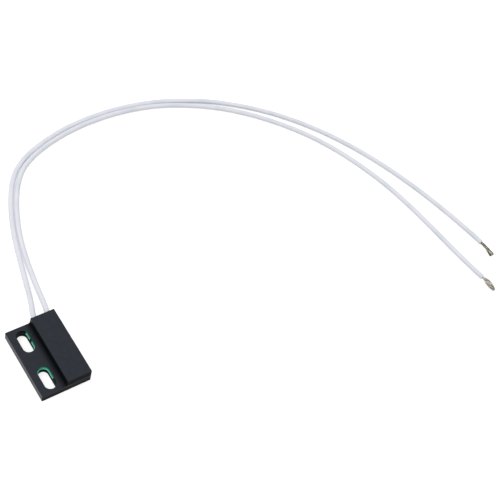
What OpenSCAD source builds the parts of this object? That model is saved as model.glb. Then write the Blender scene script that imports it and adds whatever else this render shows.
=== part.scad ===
// Flange-mount reed switch sensor with two leads, used to sense an oven door.
// X runs across the body from the flange to the block, Y along it towards the leads, Z is up.
// The origin is the middle of the housing's underside.

/* [Housing] */
// Length of the housing along the leads
housing_l = 28.57; // [28:0.01:32]
// Width over the flange and the block
housing_w = 19.05; // [18.6:0.01:22]
// Height of the block
housing_h = 6.35; // [6:0.01:7.5]
// Thickness of the mounting flange
flange_t = 3.3; // [2.6:0.1:4]
// Width of the block that holds the reed switch
block_w = 9.45; // [9.2:0.05:9.9]
// Radius of the housing's upright corners
corner_r = 0.15; // [0.1:0.05:0.6]
// Radius of the fillet between the flange and the block
step_fillet_r = 0.9; // [0.3:0.1:1.5]
// How far the block's moulded walls lean in from the flange to the top
draft = 0.08; // [0.02:0.01:0.2]
// Ledge left at the closed end where the block's wall is set back from the flange
end_ledge = 0.08; // [0.02:0.01:0.3]

/* [Mounting slots] */
// Distance from the flange's outer edge to the middle of the slots
slot_edge = 4.85; // [3:0.05:5.2]
// Distance between the middles of the two slots
slot_pitch = 16.3; // [13:0.1:17]
// How far the pair of slots sits off the middle of the housing, towards the closed end
slot_shift = 0.1; // [0:0.05:0.5]
// Width of a slot
slot_w = 3.8; // [3:0.1:4.2]
// Length of a slot from end to end
slot_l = 8.7; // [6:0.05:9]
// How much wider the shallow seat round each slot is, on every side
seat_margin = 0.25; // [0.1:0.01:0.4]
// Depth of the seat below the top of the flange
seat_depth = 1.2; // [0.5:0.1:2]

/* [Pocket and potting] */
// Width of the pocket in the block
pocket_w = 7.7; // [7.6:0.05:8]
// Height of the pocket
pocket_h = 4.2; // [3.8:0.1:4.4]
// Radius of the pocket's corners
pocket_r = 0.5; // [0.2:0.1:1]
// Thickness of the housing below the pocket
pocket_floor = 1; // [0.8:0.1:1.2]
// Thickness of the wall at the closed end
end_wall = 1.1; // [0.8:0.1:1.5]
// How deep the potting stops inside the pocket's mouth
potting_recess = 0.3; // [0.1:0.05:0.8]

/* [Reed switch] */
// Length of the glass capsule
glass_l = 14; // [12:0.5:14]
// Diameter of the glass capsule
glass_d = 2.3; // [2:0.1:2.4]
// Thickness of the glass wall
glass_wall = 0.3; // [0.2:0.05:0.35]
// Length of the solid glass seal at each end
seal_l = 1.8; // [1.2:0.1:2]
// Diameter of the reed's round lead
lead_d = 0.56; // [0.5:0.02:0.6]
// Length of each lead outside the glass
lead_l = 3.4; // [3:0.1:3.4]
// Width of a contact blade
blade_w = 1.1; // [0.8:0.05:1.2]
// Thickness of a contact blade
blade_t = 0.22; // [0.18:0.01:0.26]
// Length over which the two blades lie over each other
blade_overlap = 0.9; // [0.6:0.1:1.5]
// Gap between the open contacts
contact_gap = 0.12; // [0.08:0.01:0.16]

/* [Leads] */
// Diameter of the insulated wire
jacket_d = 2.05; // [1.8:0.01:2.08]
// Diameter over the twisted strands
strand_d = 0.62; // [0.5:0.01:0.64]

/* [Hidden] */
$fn = 48;

// Overshoot that lets a cut pass clean through a face
cut = 1;
// Room left between turned pieces that touch inside the housing
play = 0.005;
// Room left in the potting round the eight-sided wires
wire_room = 0.05;
// Places across the housing
flange_edge_x = -housing_w / 2;
block_edge_x = housing_w / 2 - block_w;
slot_x = flange_edge_x + slot_edge;
// The pocket and the reed switch lie along the middle of the block
core_x = 4.8;
core_z = pocket_floor + pocket_h / 2;
pocket_y0 = -housing_l / 2 + end_wall;
potting_y1 = housing_l / 2 - potting_recess;
// The glass lies nearer the closed end, to leave room for the first soldered joint
glass_y = -1.7;
bore_l = glass_l - 2 * seal_l;
root_l = 0.6;
root_y = bore_l / 2 - root_l;
hinge_gap = 0.02;
blade_l = root_y - hinge_gap + blade_overlap / 2;
blade_z = (contact_gap + blade_t) / 2;
lead_end_y = glass_l / 2 + lead_l;
// Solder joints, each round a lead and the strands beside it
solder_l = 2.2;
solder_d = 1.5;
solder_y = lead_end_y - 1.2;
joint_dx = (lead_d + strand_d) / 2 + 0.1;
// Height of the middle of a wire that lies on the table
lie_z = 1.03;
// Sides of the swept wires
wire_sides = 8;
wire_r = jacket_d / 2;
strand_r = strand_d / 2;

// Route of wire a, from its joint on the near lead to its stripped tip
joint_a = [core_x - joint_dx, 0, core_z];
route_a = [
    [joint_a[0], 6.8, core_z], [joint_a[0], 8.9, core_z], [3.6, 9.7, core_z], [2.6, 10.5, core_z],
    [2.25, 11.4, core_z], [2.25, 14.4, core_z], [2.85, 17.2, 3], [4.2, 21, 2.6], [5.5, 25, 2],
    [6.9, 30, 1.4], [8.2, 35, 1.1], [9.5, 40, lie_z], [12.25, 50, lie_z], [15.7, 60, lie_z],
    [20.3, 70, lie_z], [25, 77.4, lie_z], [30, 82.4, lie_z], [35, 85.6, lie_z], [40, 87.9, lie_z],
    [50, 91.2, lie_z], [60, 93.15, lie_z], [70, 93.95, lie_z], [80, 93.8, lie_z], [90, 92.65, lie_z],
    [100, 90.4, lie_z], [110, 86.9, lie_z], [120, 82.3, lie_z], [130, 76, lie_z], [140, 68, lie_z],
    [148, 60, lie_z], [156, 50.1, lie_z], [162.6, 40, lie_z], [168, 30, lie_z], [172.5, 20, lie_z],
    [176.3, 10, lie_z], [179.5, 0, lie_z], [182.2, -10, lie_z], [184.5, -20, lie_z],
    [186.6, -31.2, lie_z], [186.9, -33.6, 1], [186.9, -36.2, 0.95], [186.8, -38.4, 0.9]];
jacket_a = [4, 38];
// Radii of the strands past the jacket: a neck, then the spread ends
tip_a = [strand_r, 0.45, 0.72, 0.6];

// Route of wire b, from its joint on the far lead, past the glass, to its stripped tip
joint_b = [core_x + joint_dx, 0, core_z];
route_b = [
    [joint_b[0], -11.8, core_z], [joint_b[0], -9.7, core_z], [5.9, -9, core_z],
    [6.9, -8.2, core_z], [7.4, -7.2, core_z], [7.4, 14.4, core_z], [8.05, 17.2, 3],
    [8.75, 21, 2.6], [9.45, 25, 2], [10.3, 30, 1.4], [11.2, 35, 1.1], [12.1, 40, lie_z],
    [14.5, 50, lie_z], [18.05, 60, lie_z], [22.85, 70, lie_z], [26.1, 75, lie_z], [30.5, 79.95, lie_z],
    [35, 83.1, lie_z], [40, 85.6, lie_z], [50, 88.95, lie_z], [60, 90.95, lie_z], [70, 91.8, lie_z],
    [80, 91.65, lie_z], [90, 90.45, lie_z], [100, 88, lie_z], [110, 84, lie_z], [120, 78.6, lie_z],
    [130, 71.4, lie_z], [140, 61.9, lie_z], [149.6, 50, lie_z], [155.7, 40, lie_z], [160.4, 30, lie_z],
    [164.1, 20, lie_z], [167, 10, lie_z], [169, 0, lie_z], [170.5, -10, lie_z], [171.7, -20, lie_z],
    [172.8, -30, lie_z], [175.2, -45.3, lie_z], [175.5, -46.8, 1.1], [175.6, -49.4, 1.2],
    [175.5, -52.6, 1.1]];
jacket_b = [4, 38];
tip_b = [strand_r, 0.5, 1.1, 0.45];

function unit(v) = v / norm(v);
function heading(path, i) = unit(path[min(i + 1, len(path) - 1)] - path[max(i - 1, 0)]);

// One ring of points square to the path at its point i
function ring(path, i, r) =
    let (ahead = heading(path, i), side = unit(cross(ahead, [0, 0, 1])), up = cross(side, ahead))
    [for (k = [0:wire_sides - 1])
        path[i] + r * (cos(k * 360 / wire_sides) * side + sin(k * 360 / wire_sides) * up)];

// Triangles of the wall between two neighbouring rings whose points start at a and b
function wall(a, b) = [for (k = [0:wire_sides - 1]) let (n = (k + 1) % wire_sides)
    each [[a + k, a + n, b + n], [a + k, b + n, b + k]]];

function flat(lists) = [for (list = lists) each list];

// A solid swept along the whole path, with one radius for each of its points
module swept_rod(path, radii) {
    last = len(path) - 1;
    first_cap = [for (k = [wire_sides - 1:-1:0]) k];
    last_cap = [for (k = [0:wire_sides - 1]) last * wire_sides + k];
    walls = flat([for (i = [0:last - 1]) wall(i * wire_sides, (i + 1) * wire_sides)]);
    polyhedron(flat([for (i = [0:last]) ring(path, i, radii[i])]),
               concat([first_cap], walls, [last_cap]));
}

// A hollow tube swept along the part of the path from point span[0] to point span[1]
module swept_tube(path, span, r_outer, r_inner) {
    count = span[1] - span[0] + 1;
    inner = count * wire_sides;
    last = (count - 1) * wire_sides;
    outer_rings = [for (i = [span[0]:span[1]]) ring(path, i, r_outer)];
    inner_rings = [for (i = [span[0]:span[1]]) ring(path, i, r_inner)];
    outer_walls = [for (i = [0:count - 2]) wall(i * wire_sides, (i + 1) * wire_sides)];
    inner_walls = [for (i = [0:count - 2])
        wall(inner + (i + 1) * wire_sides, inner + i * wire_sides)];
    ends = [wall(inner, 0), wall(last, inner + last)];
    polyhedron(flat(concat(outer_rings, inner_rings)),
               flat(concat(outer_walls, inner_walls, ends)));
}

// A rod between two points
module rod_between(from, to, r) {
    step = to - from;
    translate(from)
        rotate([0, acos(step[2] / norm(step)), atan2(step[1], step[0])])
            cylinder(h = norm(step), r = r);
}

module rounded_rect(size, r) {
    square([size[0] - 2 * r, size[1]], center = true);
    square([size[0], size[1] - 2 * r], center = true);
    for (x = [-1, 1], y = [-1, 1])
        translate([x * (size[0] / 2 - r), y * (size[1] / 2 - r)])
            circle(r = r);
}

module slot_outline(w, l) {
    square([w, l - w], center = true);
    for (end = [-1, 1])
        translate([0, end * (l - w) / 2])
            circle(d = w);
}

// Outline of the housing across its length: flange, fillet and block with a leaning inner wall
module cross_section() {
    translate([flange_edge_x, 0])
        square([housing_w, flange_t]);
    polygon([[block_edge_x, flange_t - cut], [housing_w / 2, flange_t - cut],
             [housing_w / 2, housing_h], [block_edge_x + draft, housing_h]]);
    difference() {
        translate([block_edge_x - step_fillet_r, flange_t - cut])
            square([step_fillet_r + draft / 2, step_fillet_r + cut]);
        translate([block_edge_x - step_fillet_r, flange_t + step_fillet_r])
            circle(r = step_fillet_r);
    }
}

// Outline of the housing along its length, with the closed end's ledge and leaning wall
module long_section() {
    y0 = -housing_l / 2;
    polygon([[y0, 0], [housing_l / 2, 0], [housing_l / 2, housing_h],
             [y0 + end_ledge + draft, housing_h], [y0 + end_ledge, flange_t], [y0, flange_t]]);
}

module mounting_slot() {
    seat_w = slot_w + 2 * seat_margin;
    seat_l = slot_l + 2 * seat_margin;
    translate([0, 0, -cut])
        linear_extrude(flange_t + 2 * cut)
            slot_outline(slot_w, slot_l);
    translate([0, 0, flange_t - seat_depth])
        linear_extrude(seat_depth + cut)
            slot_outline(seat_w, seat_l);
}

// The space of the pocket between two places along the housing
module pocket_space(y0, y1) {
    translate([core_x, y1, core_z])
        rotate([90, 0, 0])
            linear_extrude(y1 - y0)
                rounded_rect([pocket_w, pocket_h], pocket_r);
}

// Turns a shape drawn upwards so that it lies along the reed switch, towards the leads or away
module along_reed(towards = 1) {
    translate([core_x, glass_y, core_z])
        rotate([-90 * towards, 0, 0])
            children();
}

// The moulded shell: flange with two seated slots, block with a pocket open towards the leads
module housing() {
    color([0.2, 0.21, 0.25])
    difference() {
        intersection() {
            linear_extrude(housing_h)
                rounded_rect([housing_w, housing_l], corner_r);
            translate([0, housing_l / 2, 0])
                rotate([90, 0, 0])
                    linear_extrude(housing_l)
                        cross_section();
            translate([-housing_w / 2, 0, 0])
                rotate([90, 0, 90])
                    linear_extrude(housing_w)
                        long_section();
        }
        for (end = [-1, 1])
            translate([slot_x, end * slot_pitch / 2 - slot_shift, 0])
                mounting_slot();
        pocket_space(pocket_y0, housing_l / 2 + cut);
    }
}

// Everything that the potting flows round, each a hair larger than the piece itself
module potted_pieces() {
    along_reed()
        glass_body(play);
    for (side = [-1, 1]) {
        along_reed(side)
            cylinder(h = lead_end_y + play, d = lead_d + 2 * play);
        along_reed(side)
            solder_body(-side, play);
    }
    wire_passage(route_a, jacket_a[0]);
    wire_passage(route_b, jacket_b[0]);
}

// Direction across the level stretch of a route that starts at its point i
function across(route, i) = cross([0, 0, 1], unit(route[i + 1] - route[i]));

// Corner of a channel at point i, mitred between the stretches before and after it
function channel_corner(route, i, n, half_w) =
    let (before = across(route, max(i - 1, 0)), after = across(route, min(i, n - 1)),
         middle = unit(before + after), corner = route[i] + middle * half_w / (middle * after))
    [corner[0], corner[1]];

// Outline, seen from above, of a channel along the level points 0 to n of a route
function channel(route, n, half_w) = concat(
    [for (i = [0:n]) channel_corner(route, i, n, half_w)],
    [for (i = [n:-1:0]) channel_corner(route, i, n, -half_w)]);

// The way of one wire through the potting: bare strands up to point n, then the jacket
module wire_passage(route, n) {
    half_w = strand_r + wire_room;
    translate([0, 0, core_z - half_w])
        linear_extrude(2 * half_w)
            polygon(channel(route, n, half_w));
    translate(route[n] - [0, 3 * wire_room, 0])
        rotate([-90, 0, 0])
            cylinder(h = housing_l, r = wire_r + wire_room);
}

// Epoxy that fills the pocket round the reed switch and grips the wires
module potting() {
    color([0.12, 0.12, 0.13])
    difference() {
        pocket_space(pocket_y0, potting_y1);
        potted_pieces();
    }
}

// Outline from the axis to the outside of the capsule, with shoulders rounded to the seals
module glass_body(grow = 0) {
    r = glass_d / 2 + grow;
    h = glass_l / 2 + grow;
    shoulder = 0.7;
    rotate_extrude()
        union() {
            translate([0, -h + shoulder])
                square([r, 2 * (h - shoulder)]);
            translate([0, -h])
                square([r - shoulder, 2 * h]);
            for (end = [-1, 1])
                intersection() {
                    translate([r - shoulder, end * (h - shoulder)])
                        circle(r = shoulder);
                    translate([0, -h])
                        square([r, 2 * h]);
                }
        }
}

// Glass capsule, sealed round a lead at each end
module reed_glass() {
    color([0.6, 0.75, 0.7, 0.5])
    difference() {
        along_reed()
            glass_body();
        along_reed()
            cylinder(h = bore_l, d = glass_d - 2 * glass_wall, center = true);
        along_reed()
            cylinder(h = glass_l + 2 * cut, d = lead_d, center = true);
    }
}

// One lead: a round wire through the seal, ending in the flat root of its blade
module reed_lead(towards, blade_side) {
    root_half = blade_w / 2;
    along_reed(towards) {
        translate([0, 0, bore_l / 2])
            cylinder(h = lead_end_y - bore_l / 2, d = lead_d);
        translate([0, blade_side * blade_z, 0])
            rotate([90, 0, 0])
                translate([0, 0, -blade_t / 2])
                    linear_extrude(blade_t)
                        polygon([[-root_half, root_y], [root_half, root_y],
                                 [lead_d / 3, bore_l / 2], [-lead_d / 3, bore_l / 2]]);
    }
}

// One contact blade: a flat spring that narrows behind the contact end
module reed_blade(towards, blade_side) {
    tip_y = -blade_overlap / 2;
    neck_w = 0.8 * blade_w;
    contact_l = 1.6;
    along_reed(towards)
        translate([0, blade_side * blade_z, 0])
            rotate([90, 0, 0])
                translate([0, 0, -blade_t / 2])
                    linear_extrude(blade_t)
                        polygon([[-blade_w / 2, tip_y], [blade_w / 2, tip_y],
                                 [blade_w / 2, tip_y + contact_l],
                                 [neck_w / 2, tip_y + contact_l + blade_t],
                                 [neck_w / 2, tip_y + blade_l - blade_w],
                                 [blade_w / 2, tip_y + blade_l], [-blade_w / 2, tip_y + blade_l],
                                 [-neck_w / 2, tip_y + blade_l - blade_w],
                                 [-neck_w / 2, tip_y + contact_l + blade_t],
                                 [-blade_w / 2, tip_y + contact_l]]);
}

// The near lead, towards the wires, carries the upper blade
module reed_lead_near() {
    color("silver") reed_lead(1, -1);
}

// The far lead, towards the closed end, carries the lower blade
module reed_lead_far() {
    color("silver") reed_lead(-1, -1);
}

module reed_blade_near() {
    color("gold") reed_blade(1, -1);
}

module reed_blade_far() {
    color("gold") reed_blade(-1, -1);
}

// A spindle of solder round the lead and the strands on the side that dx points to
module solder_body(dx, grow = 0) {
    r = solder_d / 2 + grow;
    h = solder_l / 2 + grow;
    translate([dx * joint_dx / 2, 0, solder_y])
        rotate_extrude()
            polygon([[0, -h], [r / 2, -h], [r, -h / 2], [r, h / 2], [r / 2, h], [0, h]]);
}

module solder_joint(towards, route) {
    color("lightgray")
    difference() {
        along_reed(towards)
            solder_body(-towards);
        along_reed(towards)
            cylinder(h = lead_end_y + play, d = lead_d);
        rod_between(route[0], route[1], strand_r + play);
    }
}

// Wire a ends on the near lead, wire b on the far one
module solder_near() {
    solder_joint(1, route_a);
}

module solder_far() {
    solder_joint(-1, route_b);
}

// Insulation of one wire, from inside the potting to its stripped end
module jacket(route, span) {
    color("white")
        swept_tube(route, span, wire_r, strand_r + 2 * play);
}

// Bundle of strands through one wire, bare at the joint and at the tip
module strands(route, tip) {
    plain = len(route) - len(tip);
    color("tan")
        swept_rod(route, concat([for (i = [0:plain - 1]) strand_r], tip));
}

module wire_a_jacket() {
    jacket(route_a, jacket_a);
}

module wire_a_strands() {
    strands(route_a, tip_a);
}

module wire_b_jacket() {
    jacket(route_b, jacket_b);
}

module wire_b_strands() {
    strands(route_b, tip_b);
}

housing();
potting();
reed_glass();
reed_lead_near();
reed_lead_far();
reed_blade_near();
reed_blade_far();
solder_near();
solder_far();
wire_a_jacket();
wire_a_strands();
wire_b_jacket();
wire_b_strands();
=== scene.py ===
import math

import bmesh
import bpy
from mathutils import Matrix, Quaternion, Vector


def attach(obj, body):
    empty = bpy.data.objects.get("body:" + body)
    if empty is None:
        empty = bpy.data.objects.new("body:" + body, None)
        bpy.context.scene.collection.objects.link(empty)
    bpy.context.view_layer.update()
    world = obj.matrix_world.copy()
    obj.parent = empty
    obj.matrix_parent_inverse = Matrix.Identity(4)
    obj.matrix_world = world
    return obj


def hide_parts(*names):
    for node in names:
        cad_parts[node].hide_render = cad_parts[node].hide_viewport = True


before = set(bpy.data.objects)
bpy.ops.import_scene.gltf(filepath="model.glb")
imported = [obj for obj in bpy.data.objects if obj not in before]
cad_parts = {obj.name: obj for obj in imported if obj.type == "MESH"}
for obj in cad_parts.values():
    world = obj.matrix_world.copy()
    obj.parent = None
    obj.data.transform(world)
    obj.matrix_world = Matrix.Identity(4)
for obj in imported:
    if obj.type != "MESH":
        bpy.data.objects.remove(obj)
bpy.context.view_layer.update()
MM = 0.001

# The view of the photograph: a long lens above the flange side of the housing,
# turned a little about its own axis. Colours are shown as they are written.
scene = bpy.context.scene
scene.view_settings.view_transform = "Standard"
VIEW_AZIMUTH = math.radians(49.2968)
VIEW_ELEVATION = math.radians(52.4216)
VIEW_ROLL = math.radians(19.7775)
VIEW_PLACE = Vector((-108.58, -165.49, 346.70)) * MM
SENSOR = 36.0
LENS = 79.2
looking = Vector((math.sin(VIEW_AZIMUTH) * math.cos(VIEW_ELEVATION),
                  math.cos(VIEW_AZIMUTH) * math.cos(VIEW_ELEVATION),
                  -math.sin(VIEW_ELEVATION)))
lens = bpy.data.cameras.new("camera")
lens.sensor_width = SENSOR
lens.lens = LENS
lens.clip_start = 0.01
lens.clip_end = 20
camera = bpy.data.objects.new("camera", lens)
camera.rotation_mode = "QUATERNION"
camera.rotation_quaternion = looking.to_track_quat("-Z", "Y") @ Quaternion((0, 0, 1), VIEW_ROLL)
camera.location = VIEW_PLACE
scene.collection.objects.link(camera)
scene.camera = camera

# The routes of the two leads: side by side out of the potting, down to the table and round
# in one wide bow. They are those of the CAD wires, in millimetres.
CORE_Z = 3.1
LYING_Z = 1.03
ROUTE_A = [
    (4.11, 6.8, CORE_Z), (4.11, 8.9, CORE_Z), (3.6, 9.7, CORE_Z), (2.6, 10.5, CORE_Z),
    (2.25, 11.4, CORE_Z), (2.25, 14.4, CORE_Z), (2.85, 17.2, 3), (4.2, 21, 2.6), (5.5, 25, 2),
    (6.9, 30, 1.4), (8.2, 35, 1.1), (9.5, 40, LYING_Z), (12.25, 50, LYING_Z), (15.7, 60, LYING_Z),
    (20.3, 70, LYING_Z), (25, 77.4, LYING_Z), (30, 82.4, LYING_Z), (35, 85.6, LYING_Z),
    (40, 87.9, LYING_Z), (50, 91.2, LYING_Z), (60, 93.15, LYING_Z), (70, 93.95, LYING_Z),
    (80, 93.8, LYING_Z), (90, 92.65, LYING_Z), (100, 90.4, LYING_Z), (110, 86.9, LYING_Z),
    (120, 82.3, LYING_Z), (130, 76, LYING_Z), (140, 68, LYING_Z), (148, 60, LYING_Z),
    (156, 50.1, LYING_Z), (162.6, 40, LYING_Z), (168, 30, LYING_Z), (172.5, 20, LYING_Z),
    (176.3, 10, LYING_Z), (179.5, 0, LYING_Z), (182.2, -10, LYING_Z), (184.5, -20, LYING_Z),
    (186.6, -31.2, LYING_Z), (186.9, -33.6, 1), (186.9, -36.2, 0.95), (186.8, -38.4, 0.9)]
ROUTE_B = [
    (5.49, -11.8, CORE_Z), (5.49, -9.7, CORE_Z), (5.9, -9, CORE_Z), (6.9, -8.2, CORE_Z),
    (7.4, -7.2, CORE_Z), (7.4, 14.4, CORE_Z), (8.05, 17.2, 3), (8.75, 21, 2.6), (9.45, 25, 2),
    (10.3, 30, 1.4), (11.2, 35, 1.1), (12.1, 40, LYING_Z), (14.5, 50, LYING_Z), (18.05, 60, LYING_Z),
    (22.85, 70, LYING_Z), (26.1, 75, LYING_Z), (30.5, 79.95, LYING_Z), (35, 83.1, LYING_Z),
    (40, 85.6, LYING_Z), (50, 88.95, LYING_Z), (60, 90.95, LYING_Z), (70, 91.8, LYING_Z),
    (80, 91.65, LYING_Z), (90, 90.45, LYING_Z), (100, 88, LYING_Z), (110, 84, LYING_Z),
    (120, 78.6, LYING_Z), (130, 71.4, LYING_Z), (140, 61.9, LYING_Z), (149.6, 50, LYING_Z),
    (155.7, 40, LYING_Z), (160.4, 30, LYING_Z), (164.1, 20, LYING_Z), (167, 10, LYING_Z),
    (169, 0, LYING_Z), (170.5, -10, LYING_Z), (171.7, -20, LYING_Z), (172.8, -30, LYING_Z),
    (175.2, -45.3, LYING_Z), (175.5, -46.8, 1.1), (175.6, -49.4, 1.2), (175.5, -52.6, 1.1)]
JACKET_FIRST = 4
JACKET_LAST = 38
STEPS = 8


def smooth_line(points):
    """Points of a smooth curve through the route's points, STEPS of them per stretch."""
    curve = bpy.data.curves.new("line", "CURVE")
    curve.dimensions = "3D"
    curve.resolution_u = STEPS
    spline = curve.splines.new("BEZIER")
    spline.bezier_points.add(len(points) - 1)
    for knot, point in zip(spline.bezier_points, points):
        knot.co = Vector(point) * MM
        knot.handle_left_type = "AUTO"
        knot.handle_right_type = "AUTO"
    holder = bpy.data.objects.new("line", curve)
    scene.collection.objects.link(holder)
    bpy.context.view_layer.update()
    line = [v.co.copy() for v in holder.to_mesh().vertices]
    holder.to_mesh_clear()
    bpy.data.objects.remove(holder)
    return line


def stations(line):
    """A frame at each point of a line: its third axis points along the line."""
    frames = []
    for i, point in enumerate(line):
        ahead = (line[min(i + 1, len(line) - 1)] - line[max(i - 1, 0)]).normalized()
        side = ahead.cross(Vector((0, 0, 1))).normalized()
        up = side.cross(ahead)
        place = Matrix((side, up, ahead)).transposed().to_4x4()
        place.translation = point
        frames.append(place)
    return frames


line_a = smooth_line(ROUTE_A)
line_b = smooth_line(ROUTE_B)
frames_a = stations(line_a)
frames_b = stations(line_b)

# The jackets: an extruded tube of satin white plastic round each bundle of strands,
# cut square at both ends, with a faint lavender cast and cooler patches along its length.
JACKET_D = 2.05 * MM
BORE_D = 0.66 * MM
END_ROUND = 0.14 * MM
BORE_SHOWN = 1.6 * MM
JACKET_SIDES = 28
EXIT_Y = 13.985 * MM


def ring_at(place, radius, ahead=0.0):
    """The place of one ring: a frame moved ahead along its line, scaled to the ring's radius."""
    return place @ Matrix.Translation((0, 0, ahead)) @ Matrix.Scale(radius, 4)


def finished(shape):
    """The mesh of a shape that is complete."""
    mesh = bpy.data.meshes.new("shape")
    shape.to_mesh(mesh)
    shape.free()
    return mesh


def sweep(rings, sides):
    """A circle extruded from ring to ring and closed at both ends, as a smooth mesh in which
    each point is marked with how far along it lies."""
    shape = bmesh.new()
    along = shape.verts.layers.float.new("along")
    reached = 0.0
    bmesh.ops.create_circle(shape, cap_ends=True, segments=sides, radius=1, matrix=rings[0])
    edges = shape.edges[:]
    for before, after in zip(rings, rings[1:]):
        reached += (after.translation - before.translation).length
        grown = bmesh.ops.extrude_edge_only(shape, edges=edges)["geom"]
        points = [g for g in grown if isinstance(g, bmesh.types.BMVert)]
        bmesh.ops.transform(shape, matrix=after @ before.inverted(), verts=points)
        for point in points:
            point[along] = reached
        loop = set(points)
        edges = [g for g in grown if isinstance(g, bmesh.types.BMEdge)
                 and g.verts[0] in loop and g.verts[1] in loop]
    bmesh.ops.contextual_create(shape, geom=edges)
    bmesh.ops.recalc_face_normals(shape, faces=shape.faces)
    for face in shape.faces:
        face.smooth = True
    return finished(shape)


def add_piece(name, mesh, material):
    """A finished mesh as a piece of the scene, which rides on the sensor."""
    mesh.materials.append(material)
    piece = bpy.data.objects.new(name, mesh)
    scene.collection.objects.link(piece)
    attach(piece, "sensor")
    return piece


def make_jacket(name, frames):
    """The rings run from inside the first bore, over the outside and into the last bore."""
    first, last = frames[0], frames[-1]
    outer, bore = JACKET_D / 2, BORE_D / 2
    rings = [ring_at(first, bore, BORE_SHOWN), ring_at(first, bore),
             ring_at(first, outer - END_ROUND), ring_at(first, outer, END_ROUND)]
    rings += [ring_at(place, outer) for place in frames[1:-1]]
    rings += [ring_at(last, outer, -END_ROUND), ring_at(last, outer - END_ROUND),
              ring_at(last, bore), ring_at(last, bore, -BORE_SHOWN)]
    return add_piece(name, sweep(rings, JACKET_SIDES), insulation)


def new_material(name, metallic=0.0):
    """A material with its nodes, its links and the shader whose sockets it sets."""
    material = bpy.data.materials.new(name)
    material.use_nodes = True
    nodes, links = material.node_tree.nodes, material.node_tree.links
    shader = nodes["Principled BSDF"]
    shader.inputs["Metallic"].default_value = metallic
    return material, nodes, links, shader


def new_group(name, inputs, output, kind="NodeSocketFloat"):
    """An empty shader group with number inputs and one output, with its two end nodes."""
    group = bpy.data.node_groups.new(name, "ShaderNodeTree")
    for label in inputs:
        group.interface.new_socket(name=label, in_out="INPUT", socket_type="NodeSocketFloat")
    group.interface.new_socket(name=output, in_out="OUTPUT", socket_type=kind)
    given = group.nodes.new("NodeGroupInput")
    result = group.nodes.new("NodeGroupOutput")
    return group, group.nodes, group.links, given, result


# The noise seldom leaves this range, so this is what is spread over a mottle's two values
NOISE_RANGE = (0.32, 0.68)


def make_mottle():
    """Soft uneven spots over a surface, between two values."""
    group, nodes, links, given, result = new_group("mottle", ("Spots per Metre", "Low", "High"), "Value")
    place = nodes.new("ShaderNodeTexCoord")
    noise = nodes.new("ShaderNodeTexNoise")
    noise.inputs["Detail"].default_value = 4
    spread = nodes.new("ShaderNodeMapRange")
    spread.inputs["From Min"].default_value = NOISE_RANGE[0]
    spread.inputs["From Max"].default_value = NOISE_RANGE[1]
    links.new(place.outputs["Object"], noise.inputs["Vector"])
    links.new(given.outputs["Spots per Metre"], noise.inputs["Scale"])
    links.new(noise.outputs["Fac"], spread.inputs["Value"])
    links.new(given.outputs["Low"], spread.inputs["To Min"])
    links.new(given.outputs["High"], spread.inputs["To Max"])
    links.new(spread.outputs["Result"], result.inputs["Value"])
    return group


def make_fine_relief():
    """The slight unevenness that a mould, a die or a dip leaves, as a bumped normal."""
    group, nodes, links, given, result = new_group(
        "fine_relief", ("Spots per Metre", "Height"), "Normal", "NodeSocketVector")
    place = nodes.new("ShaderNodeTexCoord")
    noise = nodes.new("ShaderNodeTexNoise")
    noise.inputs["Detail"].default_value = 6
    bump = nodes.new("ShaderNodeBump")
    links.new(place.outputs["Object"], noise.inputs["Vector"])
    links.new(given.outputs["Spots per Metre"], noise.inputs["Scale"])
    links.new(given.outputs["Height"], bump.inputs["Distance"])
    links.new(noise.outputs["Fac"], bump.inputs["Height"])
    links.new(bump.outputs["Normal"], result.inputs["Normal"])
    return group


# A mottle is given as its spots per metre and its two values, a relief as its spots per
# metre and its height.
MOTTLE = make_mottle()
FINE_RELIEF = make_fine_relief()


def placed(nodes, group, *values):
    """A group placed in a material, its values in the order of its inputs; gives its one output."""
    node = nodes.new("ShaderNodeGroup")
    node.node_tree = group
    for socket, value in zip(node.inputs, values):
        socket.default_value = value
    return node.outputs[0]


def figured(nodes, links, operation, *values, clamp=False):
    """The output of a math node; each value is a number or another node's output."""
    node = nodes.new("ShaderNodeMath")
    node.operation = operation
    node.use_clamp = clamp
    for socket, value in zip(node.inputs, values):
        if isinstance(value, (int, float)):
            socket.default_value = value
        else:
            links.new(value, socket)
    return node.outputs[0]


def ramped(nodes, links, value, low, high, at_low=0.0, at_high=1.0):
    """A number that runs from at_low to at_high while the value runs from low to high."""
    node = nodes.new("ShaderNodeMapRange")
    for label, number in (("From Min", low), ("From Max", high),
                          ("To Min", at_low), ("To Max", at_high)):
        node.inputs[label].default_value = number
    links.new(value, node.inputs["Value"])
    return node.outputs["Result"]


def product(nodes, links, *values):
    """The product of several numbers, each a node's output."""
    result = values[0]
    for value in values[1:]:
        result = figured(nodes, links, "MULTIPLY", result, value)
    return result


def largest(nodes, links, *values):
    """The largest of several numbers, each a node's output."""
    result = values[0]
    for value in values[1:]:
        result = figured(nodes, links, "MAXIMUM", result, value)
    return result


def band(nodes, links, value, low, high, fade=0.04):
    """1 while the value lies from low to high, fading to 0 within a short way past them."""
    return product(nodes, links, ramped(nodes, links, value, low - fade, low),
                   ramped(nodes, links, value, high, high + fade, 1, 0))


def place_in_mm(nodes, links):
    """The place on a piece in millimetres, as a vector."""
    place = nodes.new("ShaderNodeTexCoord")
    to_mm = nodes.new("ShaderNodeVectorMath")
    to_mm.operation = "SCALE"
    to_mm.inputs["Scale"].default_value = 1 / MM
    links.new(place.outputs["Object"], to_mm.inputs[0])
    return to_mm.outputs["Vector"]


def axes_of(nodes, links, vector):
    """The three numbers of a vector."""
    axes = nodes.new("ShaderNodeSeparateXYZ")
    links.new(vector, axes.inputs[0])
    return axes.outputs["X"], axes.outputs["Y"], axes.outputs["Z"]


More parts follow.
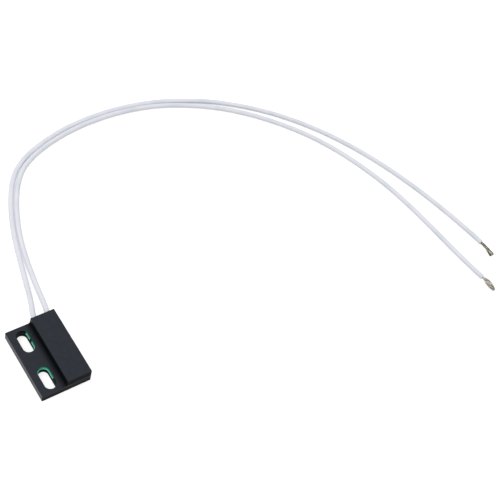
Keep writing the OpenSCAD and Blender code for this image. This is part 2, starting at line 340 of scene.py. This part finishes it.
def two_colours(nodes, links, share, first, second):
    """A colour that runs from first to second with a share from 0 to 1."""
    mix = nodes.new("ShaderNodeMix")
    mix.data_type = "RGBA"
    links.new(share, mix.inputs["Factor"])
    for label, colour in (("A", first), ("B", second)):
        socket = next(s for s in mix.inputs if s.name == label and s.type == "RGBA")
        if isinstance(colour, tuple):
            socket.default_value = (*colour, 1)
        else:
            links.new(colour, socket)
    return next(s for s in mix.outputs if s.type == "RGBA")


WIRE_WHITE = (0.82, 0.82, 0.885)
WIRE_COOL = (0.73, 0.78, 0.83)
PATCHES_PER_METRE = 90
PATCH_EDGE = (0.42, 0.72)
WIRE_ROUGHNESS = (900, 0.3, 0.5)
WIRE_RELIEF = (500, 0.03 * MM)
insulation, nodes, links, shader = new_material("insulation")
length_mark = nodes.new("ShaderNodeAttribute")
length_mark.attribute_name = "along"
patches = nodes.new("ShaderNodeTexNoise")
patches.noise_dimensions = "1D"
patches.inputs["Scale"].default_value = PATCHES_PER_METRE
links.new(length_mark.outputs["Fac"], patches.inputs["W"])
patchy = ramped(nodes, links, patches.outputs["Fac"], *PATCH_EDGE)
links.new(two_colours(nodes, links, patchy, WIRE_WHITE, WIRE_COOL), shader.inputs["Base Color"])
links.new(placed(nodes, MOTTLE, *WIRE_ROUGHNESS), shader.inputs["Roughness"])
links.new(placed(nodes, FINE_RELIEF, *WIRE_RELIEF), shader.inputs["Normal"])

jacket_frames = slice(JACKET_FIRST * STEPS, JACKET_LAST * STEPS + 1)
jacket_a = make_jacket("jacket_a", frames_a[jacket_frames])
jacket_b = make_jacket("jacket_b", frames_b[jacket_frames])

# The strands: twelve tinned copper wires twisted into each bundle, three inside and nine
# round them. At the stripped tips they are untwisted a little, spread and clogged with tin.
CORE_STRANDS = 3
OUTER_STRANDS = 9
LAY = 9.0 * MM
STRAND_SIDES = 7
# How dull each outer strand is beside its neighbours
TONES = (0.0, 0.75, 0.15, 0.9, 0.25, 0.65, 0.05)
INNER_TONE = 0.15
# Each row of a tip: share of its bare length, radius of the outer strands' ring, radius of
# the inner strands' ring, thickness of a strand with its tin, gap between two halves, and
# how much the outer strands have tarnished.
TIP_A = [
    (0.0, 0.235, 0.087, 0.15, 0.0, 0.0), (0.06, 0.50, 0.18, 0.27, 0.0, 0.0),
    (0.35, 0.50, 0.18, 0.33, 0.0, 0.0), (0.6, 0.46, 0.22, 0.36, 0.16, 0.25),
    (0.8, 0.42, 0.26, 0.40, 0.46, 0.1), (0.94, 0.38, 0.26, 0.42, 0.56, 0.45),
    (1.0, 0.30, 0.2, 0.34, 0.52, 0.5)]
TIP_B = [
    (0.0, 0.235, 0.087, 0.15, 0.0, -0.6), (0.07, 0.46, 0.16, 0.26, 0.0, -0.6),
    (0.22, 0.56, 0.2, 0.30, 0.0, -0.3), (0.5, 0.95, 0.34, 0.36, 0.0, 0.0),
    (0.72, 0.98, 0.36, 0.36, 0.0, 0.0), (0.9, 0.70, 0.26, 0.34, 0.0, 0.1),
    (1.0, 0.42, 0.15, 0.27, 0.0, -0.2)]


def between(rows, share):
    """The row of a tip's table at a share of its length, eased from row to row."""
    for low, high in zip(rows, rows[1:]):
        if share <= high[0]:
            part = (share - low[0]) / (high[0] - low[0])
            ease = part * part * (3 - 2 * part)
            return [a + (b - a) * ease for a, b in zip(low, high)][1:]
    return list(rows[-1][1:])


def make_strands(name, frames, tip, metal):
    """Every strand is swept along its own helix, and spreads with the others at the tip."""
    bundle = bmesh.new()
    tone = bundle.verts.layers.float.new("tone")
    tip_start = JACKET_LAST * STEPS
    tip_steps = len(frames) - 1 - tip_start
    turns = [0.0]
    for before, after in zip(frames, frames[1:]):
        step = (after.translation - before.translation).length
        turns.append(turns[-1] + step / LAY * math.tau)
    for number in range(CORE_STRANDS + OUTER_STRANDS):
        inner = number < CORE_STRANDS
        count = CORE_STRANDS if inner else OUTER_STRANDS
        start_angle = number * math.tau / count
        half = 1 if number % 2 else -1
        own_tone = INNER_TONE if inner else TONES[number % len(TONES)]
        rings, ring_tones = [], []
        for i, (place, turn) in enumerate(zip(frames, turns)):
            # Up to the tip every second ring is enough
            if 0 < i < tip_start and i % 2:
                continue
            share = max(0, i - tip_start) / tip_steps
            outer_r, inner_r, thick, apart, tarnish = between(tip, share)
            ring_tones.append(own_tone + (0 if inner else tarnish))
            angle = start_angle + turn
            radius = inner_r if inner else outer_r
            aside = 0 if inner else half * apart
            spot = Vector((math.cos(angle) * radius + aside, math.sin(angle) * radius, 0)) * MM
            rings.append(place @ Matrix.Translation(spot) @ Matrix.Scale(thick / 2 * MM, 4))
        strand = sweep(rings, STRAND_SIDES)
        already = len(bundle.verts)
        bundle.from_mesh(strand)
        bpy.data.meshes.remove(strand)
        bundle.verts.ensure_lookup_table()
        for count_on, vertex in enumerate(bundle.verts[already:]):
            vertex[tone] = ring_tones[count_on // STRAND_SIDES]
    return add_piece(name, finished(bundle), metal)


# How close the spots in a metal's tone, gloss and relief lie, per metre, and how much of a
# strand's tone is left to its spots
TONE_SPOTS = 1800
GLOSS_SPOTS = 2500
RELIEF_SPOTS = 6000
SPOTS_ON_STRAND = 0.35


def make_metal(name, bright, darker, roughness, relief, by_strand=False):
    """Bare or plated metal whose tone and gloss vary in small spots, or from strand to strand."""
    material, nodes, links, shader = new_material(name, metallic=1.0)
    share = placed(nodes, MOTTLE, TONE_SPOTS, 0, SPOTS_ON_STRAND if by_strand else 1)
    if by_strand:
        strand_tone = nodes.new("ShaderNodeAttribute")
        strand_tone.attribute_name = "tone"
        share = figured(nodes, links, "ADD", share, strand_tone.outputs["Fac"], clamp=True)
    links.new(two_colours(nodes, links, share, bright, darker), shader.inputs["Base Color"])
    links.new(placed(nodes, MOTTLE, GLOSS_SPOTS, *roughness), shader.inputs["Roughness"])
    links.new(placed(nodes, FINE_RELIEF, RELIEF_SPOTS, relief), shader.inputs["Normal"])
    return material


# The tin on lead a has yellowed and darkened, the tin on lead b is fresher. Each is given its
# bright and its dull colour.
TIN_YELLOWED = ((0.82, 0.79, 0.66), (0.095, 0.088, 0.056))
TIN_FRESH = ((0.93, 0.90, 0.83), (0.23, 0.21, 0.17))
TIN_ROUGHNESS = (0.25, 0.5)
TIN_RELIEF = 0.02 * MM
tinned_dark = make_metal("tinned_copper_dark", *TIN_YELLOWED, TIN_ROUGHNESS, TIN_RELIEF, by_strand=True)
tinned_pale = make_metal("tinned_copper_pale", *TIN_FRESH, TIN_ROUGHNESS, TIN_RELIEF, by_strand=True)
strands_a = make_strands("strands_a", frames_a, TIP_A, tinned_dark)
strands_b = make_strands("strands_b", frames_b, TIP_B, tinned_pale)

for jacket, strands, line, route, letter in ((jacket_a, strands_a, line_a, ROUTE_A, "a"),
                                             (jacket_b, strands_b, line_b, ROUTE_B, "b")):
    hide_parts(f"wire_{letter}_jacket")
    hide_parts(f"wire_{letter}_strands")

# The housing: one moulding of matt black plastic with soft edges. A thin green film clings to
# parts of the slots' seats. Painted shade darkens the walls of the slots, the foot of the block
# and the flange's end wall towards the table and takes their gloss; the block's end wall is also made
# darker and glossless.
EDGE_ROUND = 0.1 * MM
EDGE_SEGMENTS = 3
SHARP = math.radians(35)
FLAT = math.radians(1)
# Corners and cuts closer together than this are one
MERGE = 0.001 * MM
SNAP = 0.002 * MM
# Places on an axis that differ by less than this are level
LEVEL = 0.01 * MM
# The share of the rounding that there is room for on the narrow ledge
LEDGE_ROUND = 0.35
FLANGE_TOP = 3.3
SEAT_BOTTOM = 2.1
BLOCK_X = 4.8
FILLET_TOP = 4.2
WALL_X = 0.113
WIDEST_STEP = 0.05 * MM
LEDGE_FROM = -1.0
LEDGE_TO = 9.3
# Boxes in millimetres: the narrow ledge under the block's end wall, and the places that are
# too thin for a rounding, at the fillet's end and at the corner where the ledge runs out.
LEDGE = ((LEDGE_FROM - 0.01, LEDGE_TO + 0.01), (-15, -14.25), (3.29, 3.31))
THIN_PLACES = (((LEDGE_FROM, 0.2), (-14.25, -14), (3.29, 4.21)),
               ((LEDGE_TO - 0.01, 10), (-15, -14), (3.29, 6.36)))


def cad_copy(node):
    """A copy of a CAD node's mesh, with its split corners merged."""
    shape = bmesh.new()
    shape.from_mesh(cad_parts[node].data)
    bmesh.ops.remove_doubles(shape, verts=shape.verts, dist=MERGE)
    return shape


def cut_across(shape, geometry, axis, place, snap):
    """Cuts the given geometry of a shape at one place on an axis, and gives what that returns."""
    spot, facing = Vector(), Vector()
    spot[axis] = place
    facing[axis] = 1
    return bmesh.ops.bisect_plane(shape, geom=geometry, plane_co=spot, plane_no=facing, dist=snap)


def joined_flats(shape, cuts):
    """Joins the flat triangles into wide faces. The cuts, each an axis and a place on it, run
    through the openings, so that no face has a hole in it, and where a bevel starts or ends."""
    for axis, place in cuts:
        everything = shape.verts[:] + shape.edges[:] + shape.faces[:]
        sliced = cut_across(shape, everything, axis, place * MM, SNAP)
        for cut in sliced["geom_cut"]:
            if isinstance(cut, bmesh.types.BMEdge):
                cut.seam = True
    bmesh.ops.dissolve_limit(shape, angle_limit=FLAT, verts=shape.verts, edges=shape.edges,
                             delimit={"SEAM"})


def lies_in(edge, box):
    """Whether both ends of an edge lie in a box, given as its limits on each axis."""
    return all(low * MM < v.co[axis] < high * MM
               for v in edge.verts for axis, (low, high) in enumerate(box))


# Where the moulding is made darker and without gloss, in millimetres from and to on one axis: the wall
# at the closed end, which the block and the flange share, the foot of the block, and the slots' walls
# below and above their seats. The foot's painted shadow fades out gradually over the flange.
END_WALL_Y = (-15, -14.12)
BLOCK_END_Z = (3.5, 6.1)
BLOCK_END_DARKENING = 0.93
FLANGE_END_Z = (-1, 3.15)
FLANGE_END_SHADE = (1, 0.7)
FOOT_FADE_X = (-2.6, -0.3)
FOOT_X = (-3, 0.1)
FOOT_Z = (3.29, 6.1)
SLOTS_X = (-8, -1.5)
SLOTS_Y = (-13.5, 13.5)
LOWER_WALL_Z = (0.12, 1.96)
SEAT_WALL_Z = (SEAT_BOTTOM + 0.06, FLANGE_TOP - 0.12)


def make_shade_and_dull_places():
    """Where the moulding is made darker and without gloss: the block's end wall, and painted shade at
    the foot of the block and on the walls of the slots. The flange's end wall gets painted shade towards
    the table."""
    group, nodes, links, _, result = new_group("shade_and_dull_places", (), "Mask")
    x, y, z = axes_of(nodes, links, place_in_mm(nodes, links))
    at_end = band(nodes, links, y, *END_WALL_Y, fade=0.1)
    on_block = product(nodes, links, at_end, band(nodes, links, z, *BLOCK_END_Z, fade=0.2))
    # The block's end wall is made darker and glossless
    block_end = figured(nodes, links, "MULTIPLY", BLOCK_END_DARKENING, on_block)
    # Painted shade on the flange's end wall, deepest at the table
    shade_towards_table = ramped(nodes, links, z, 0, FLANGE_TOP, *FLANGE_END_SHADE)
    flange_end_shade = product(nodes, links, at_end, shade_towards_table, band(nodes, links, z, *FLANGE_END_Z))
    # Painted shadow of the block at its foot, fading out over the flange
    nearness = ramped(nodes, links, x, *FOOT_FADE_X)
    foot_shadow = product(nodes, links, nearness, nearness, band(nodes, links, x, *FOOT_X, fade=0.1),
                   band(nodes, links, z, *FOOT_Z))
    # Painted shade on the slots' walls below and above their seats
    walls = largest(nodes, links, band(nodes, links, z, *LOWER_WALL_Z),
                    band(nodes, links, z, *SEAT_WALL_Z))
    slot_shade = product(nodes, links, band(nodes, links, x, *SLOTS_X),
                       band(nodes, links, y, *SLOTS_Y), walls)
    darker = largest(nodes, links, block_end, flange_end_shade, foot_shadow, slot_shade)
    links.new(darker, result.inputs["Mask"])
    return group


# The film: its lowest and highest place, how coarse its ragged edge is, how far the edge
# strays across and along, and how soft it is
FILM_FROM_Z = SEAT_BOTTOM - 0.1
FILM_TO_Z = FLANGE_TOP - 0.12
RAGS_PER_MM = 1.5
STRAY = (0.5, 0.7, 0)
FILM_FADE = 0.06


def make_patch():
    """A patch of film on a seat's wall, between limits across and along, with ragged edges."""
    group, nodes, links, given, result = new_group(
        "film_patch", ("X From", "X To", "Y From", "Y To"), "Mask")
    place = place_in_mm(nodes, links)
    ragged = nodes.new("ShaderNodeTexNoise")
    ragged.inputs["Scale"].default_value = RAGS_PER_MM
    shift = nodes.new("ShaderNodeVectorMath")
    shift.operation = "MULTIPLY_ADD"
    shift.inputs[1].default_value = STRAY
    links.new(place, ragged.inputs["Vector"])
    links.new(ragged.outputs["Color"], shift.inputs[0])
    links.new(place, shift.inputs[2])
    x, y, z = axes_of(nodes, links, shift.outputs["Vector"])
    limits = ((x, given.outputs["X From"], 1), (x, given.outputs["X To"], -1),
              (y, given.outputs["Y From"], 1), (y, given.outputs["Y To"], -1),
              (z, FILM_FROM_Z, 1), (z, FILM_TO_Z, -1))
    edges = []
    for value, limit, way in limits:
        inside = figured(nodes, links, "SUBTRACT", value, limit)
        edges.append(ramped(nodes, links, inside, -FILM_FADE * way, FILM_FADE * way))
    links.new(product(nodes, links, *edges), result.inputs["Mask"])
    return group


FILM_PATCH = make_patch()
SLOT_X = -4.675
FAR_SLOT_Y = 8.05
NEAR_SLOT_Y = -8.25
# Each patch of film: from and to across the slot, then from and to along it
PATCHES = [(SLOT_X + 0.9, SLOT_X + 2.6, FAR_SLOT_Y + 1.0, FAR_SLOT_Y + 3.7),
           (SLOT_X + 0.7, SLOT_X + 2.6, FAR_SLOT_Y - 4.2, FAR_SLOT_Y - 0.2),
           (SLOT_X - 0.2, SLOT_X + 2.6, NEAR_SLOT_Y - 0.3, NEAR_SLOT_Y + 5.2),
           (SLOT_X - 2.6, SLOT_X + 0.2, NEAR_SLOT_Y + 2.7, NEAR_SLOT_Y + 5.2)]
BLACK = (0.0032, 0.0072, 0.0155)
BLACK_WORN = (0.0058, 0.0100, 0.0185)
# The darker, neutral black of the painted shade, and of the block's end wall
BLACK_SHADE_AND_DULL = (0.0050, 0.0054, 0.0060)
FILM_TEAL = (0.010, 0.46, 0.27)
FILM_HIGHLIGHT_MINT = (0.15, 0.68, 0.49)
# The film is teal; between these heights it turns mint in a mottled way, a painted highlight lower down
# near the seat
FILM_HIGHLIGHT_Z = (2.8, 2.15)
FILM_HIGHLIGHT_MOTTLE = (1100, -0.25, 0.25)
WEAR = (700, 0, 1)
PLASTIC_ROUGHNESS = (500, 0.42, 0.56)
PLASTIC_RELIEF = (2500, 0.01 * MM)
# The gloss lies in the coat, so the plastic under it has almost none of its own
COAT = (500, 0.73, 0.83)
BASE_SPECULAR = 0.01
COAT_ROUGHNESS = 0.48
plastic, nodes, links, shader = new_material("moulded_plastic")
film = largest(nodes, links, *[placed(nodes, FILM_PATCH, *patch) for patch in PATCHES])
darker = placed(nodes, make_shade_and_dull_places())
black = two_colours(nodes, links, placed(nodes, MOTTLE, *WEAR), BLACK, BLACK_WORN)
# Painted shade: a darker, neutral black on the slots' walls, at the block's foot and on the end walls
black = two_colours(nodes, links, darker, black, BLACK_SHADE_AND_DULL)
height = axes_of(nodes, links, place_in_mm(nodes, links))[2]
# Painted highlight: the film is lighter, mint, towards the bottom of the seat's wall
depth = ramped(nodes, links, height, *FILM_HIGHLIGHT_Z)
film_highlight_share = figured(nodes, links, "ADD", depth, placed(nodes, MOTTLE, *FILM_HIGHLIGHT_MOTTLE), clamp=True)
green = two_colours(nodes, links, film_highlight_share, FILM_TEAL, FILM_HIGHLIGHT_MINT)
links.new(two_colours(nodes, links, film, black, green), shader.inputs["Base Color"])
links.new(placed(nodes, MOTTLE, *PLASTIC_ROUGHNESS), shader.inputs["Roughness"])
links.new(placed(nodes, FINE_RELIEF, *PLASTIC_RELIEF), shader.inputs["Normal"])
shader.inputs["Specular IOR Level"].default_value = BASE_SPECULAR
shader.inputs["Coat Roughness"].default_value = COAT_ROUGHNESS
# The painted shade also takes away the coat's gloss
coat_share = ramped(nodes, links, darker, 0, 1, 1, 0)
links.new(product(nodes, links, coat_share, placed(nodes, MOTTLE, *COAT)), shader.inputs["Coat Weight"])

shape = cad_copy("housing")
# The fillet's top edge is brought to the wall, 0.04 mm away, so that its bevel has room.
for point in shape.verts:
    step = WALL_X * MM - point.co.x
    if abs(point.co.z - FILLET_TOP * MM) < LEVEL and 0 < step < WIDEST_STEP:
        point.co.x = WALL_X * MM
bmesh.ops.remove_doubles(shape, verts=shape.verts, dist=SNAP)
joined_flats(shape, ((0, SLOT_X), (0, LEDGE_FROM), (0, BLOCK_X), (0, LEDGE_TO),
                     (1, FAR_SLOT_Y), (1, NEAR_SLOT_Y), (2, CORE_Z), (2, FILLET_TOP)))
weight = shape.edges.layers.float.new("bevel_weight_edge")
for edge in shape.edges:
    if edge.calc_face_angle() < SHARP:
        continue
    if not edge.is_convex or any(lies_in(edge, box) for box in THIN_PLACES):
        edge.smooth = False
    else:
        edge[weight] = LEDGE_ROUND if lies_in(edge, LEDGE) else 1.0
for face in shape.faces:
    face.smooth = True
housing = add_piece("housing_moulding", finished(shape), plastic)
rounding = housing.modifiers.new("soft_edges", "BEVEL")
rounding.limit_method = "WEIGHT"
rounding.width = EDGE_ROUND
rounding.segments = EDGE_SEGMENTS
rounding.use_clamp_overlap = False
shading = housing.modifiers.new("flat_faces", "WEIGHTED_NORMAL")
shading.weight = 100
shading.keep_sharp = True
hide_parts("housing")

# The potting: black epoxy poured in round the reed switch and the wires. It has shrunk a
# little in the middle and climbs the pocket's walls and the jackets.
WIRES_X = [route[JACKET_FIRST + 1][0] * MM for route in (ROUTE_A, ROUTE_B)]
POCKET_X = BLOCK_X * MM
POCKET_HALF_W = 3.85 * MM
POCKET_HALF_H = 2.1 * MM
POCKET_R = 0.5 * MM
CELL = 0.2 * MM
CELL_SNAP = 0.0001 * MM
SINK = 0.28 * MM
CLIMB = 0.12 * MM
CREEP = 0.3 * MM
# A point nearer to a jacket than the first of these is drawn under its skin by the second
AT_JACKET = 0.07 * MM
UNDER_SKIN = 0.02 * MM


def wall_distance(point):
    """Distance in the mouth of the pocket from its rounded wall."""
    across = abs(point.x - POCKET_X) - (POCKET_HALF_W - POCKET_R)
    up = abs(point.z - CORE_Z * MM) - (POCKET_HALF_H - POCKET_R)
    corner = math.hypot(max(across, 0), max(up, 0)) + min(max(across, up), 0)
    return POCKET_R - corner


EPOXY_BLACK = (0.010, 0.010, 0.012)
EPOXY_GREYER = (0.016, 0.016, 0.017)
EPOXY_TONE = (900, 0, 1)
EPOXY_ROUGHNESS = (1200, 0.18, 0.34)
EPOXY_RELIEF = (900, 0.04 * MM)
epoxy, nodes, links, shader = new_material("epoxy")
links.new(two_colours(nodes, links, placed(nodes, MOTTLE, *EPOXY_TONE), EPOXY_BLACK, EPOXY_GREYER),
          shader.inputs["Base Color"])
links.new(placed(nodes, MOTTLE, *EPOXY_ROUGHNESS), shader.inputs["Roughness"])
links.new(placed(nodes, FINE_RELIEF, *EPOXY_RELIEF), shader.inputs["Normal"])

shape = cad_copy("potting")
# The face at the mouth is cut into cells, and their corners are then sunk or raised.
faces = [f for f in shape.faces if all(abs(v.co.y - EXIT_Y) < LEVEL for v in f.verts)]
mouth = list({g for f in faces for g in (f, *f.edges, *f.verts)})
for axis, middle, half in ((0, POCKET_X, POCKET_HALF_W), (2, CORE_Z * MM, POCKET_HALF_H)):
    cuts = int(2 * half / CELL)
    for i in range(1, cuts):
        place = middle - half + i * 2 * half / cuts
        sliced = cut_across(shape, mouth, axis, place, CELL_SNAP)
        mouth = [g for g in sliced["geom"] if g.is_valid]
faces = [g for g in mouth if isinstance(g, bmesh.types.BMFace)]
for face in faces:
    face.smooth = True
for point in {v for face in faces for v in face.verts}:
    to_wall = max(wall_distance(point.co), 0)
    to_wires = []
    for wire_x in WIRES_X:
        reach = Vector((point.co.x - wire_x, point.co.z - CORE_Z * MM))
        gap = reach.length - JACKET_D / 2
        if gap < AT_JACKET:
            tight = reach.normalized() * (JACKET_D / 2 - UNDER_SKIN)
            point.co.x = wire_x + tight.x
            point.co.z = CORE_Z * MM + tight.y
            gap = 0
        to_wires.append(gap)
    near = min(to_wall, *to_wires)
    climbed = CLIMB * math.exp(-min(to_wires) / CREEP)
    point.co.y += climbed - SINK * (1 - math.exp(-near / CREEP))
potting = add_piece("potting_fill", finished(shape), epoxy)
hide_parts("potting")

# The reed switch: two flat nickel-iron blades in a sealed glass tube, their round leads
# soldered to the strands. All of it lies inside the potting.


def dress(node, material):
    """Gives a CAD node its finish."""
    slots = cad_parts[node].data.materials
    slots.clear()
    slots.append(material)


GLASS_GREEN = (0.80, 0.93, 0.86)
GLASS_DEEPER = (0.74, 0.90, 0.82)
GLASS_TONE = (300, 0, 1)
GLASS_ROUGHNESS = (600, 0.02, 0.06)
GLASS_IOR = 1.51
glass, nodes, links, shader = new_material("glass")
shader.inputs["Transmission Weight"].default_value = 1.0
shader.inputs["IOR"].default_value = GLASS_IOR
links.new(two_colours(nodes, links, placed(nodes, MOTTLE, *GLASS_TONE), GLASS_GREEN, GLASS_DEEPER),
          shader.inputs["Base Color"])
links.new(placed(nodes, MOTTLE, *GLASS_ROUGHNESS), shader.inputs["Roughness"])
dress("reed_glass", glass)

# Each finish: its bright and dull colour, its roughness from and to, its relief, and the part
# at either end that has it
REED_FINISHES = (
    ("reed_metal", (0.66, 0.63, 0.58), (0.52, 0.49, 0.44), (0.25, 0.4), 0.01 * MM, "reed_lead"),
    ("contact_metal", (0.74, 0.71, 0.66), (0.60, 0.57, 0.52), (0.15, 0.3), 0.005 * MM, "reed_blade"),
    ("solder", (0.76, 0.76, 0.75), (0.55, 0.55, 0.55), (0.2, 0.45), 0.04 * MM, "solder"))
for name, bright, darker, roughness, relief, part in REED_FINISHES:
    metal = make_metal(name, bright, darker, roughness, relief)
    for end in ("near", "far"):
        dress(f"{part}_{end}", metal)

# Light and table: a pale table under a sky that is brightest overhead, with a large soft
# lamp from the left. The table shows as white to the eye, in gloss and through glass.
ZENITH = 1.0
HORIZON = 0.42
LAMP_SIZE = 0.5
LAMP_WATTS = 1.6
LAMP_PLACE = (-0.45, 0.15, 0.7)
world = bpy.data.worlds.new("sky")
scene.world = world
world.use_nodes = True
nodes, links = world.node_tree.nodes, world.node_tree.links
outwards = nodes.new("ShaderNodeTexCoord")
heights = nodes.new("ShaderNodeSeparateXYZ")
links.new(outwards.outputs["Generated"], heights.inputs[0])
sky = nodes["Background"]
sky.inputs["Color"].default_value = (1, 1, 1, 1)
links.new(ramped(nodes, links, heights.outputs["Z"], 0, 1, HORIZON, ZENITH), sky.inputs["Strength"])

lamp = bpy.data.lights.new("softbox", "AREA")
lamp.shape = "SQUARE"
lamp.size = LAMP_SIZE
lamp.energy = LAMP_WATTS
softbox = bpy.data.objects.new("softbox", lamp)
softbox.location = LAMP_PLACE
softbox.rotation_mode = "QUATERNION"
softbox.rotation_quaternion = (-softbox.location).to_track_quat("-Z", "Y")
scene.collection.objects.link(softbox)

# The table lies a hair below the part, so that the two never share one plane.
TABLE_GLOW = 0.65
TABLE_GREY = 0.66
TABLE_ROUGHNESS = 0.9
TABLE_HALF = 3.0
TABLE_Z = -0.03 * MM
shape = bmesh.new()
bmesh.ops.create_grid(shape, x_segments=1, y_segments=1, size=TABLE_HALF,
                      matrix=Matrix.Translation((0, 0, TABLE_Z)))
table = bpy.data.objects.new("table", finished(shape))
scene.collection.objects.link(table)
paper, nodes, links, shader = new_material("paper")
shader.inputs["Base Color"].default_value = (TABLE_GREY, TABLE_GREY, TABLE_GREY, 1)
shader.inputs["Roughness"].default_value = TABLE_ROUGHNESS
shader.inputs["Emission Color"].default_value = (1, 1, 1, 1)
rays = nodes.new("ShaderNodeLightPath").outputs
seen = largest(nodes, links, rays["Is Camera Ray"], rays["Is Glossy Ray"], rays["Is Transmission Ray"])
links.new(figured(nodes, links, "MULTIPLY", seen, TABLE_GLOW), shader.inputs["Emission Strength"])
table.data.materials.append(paper)
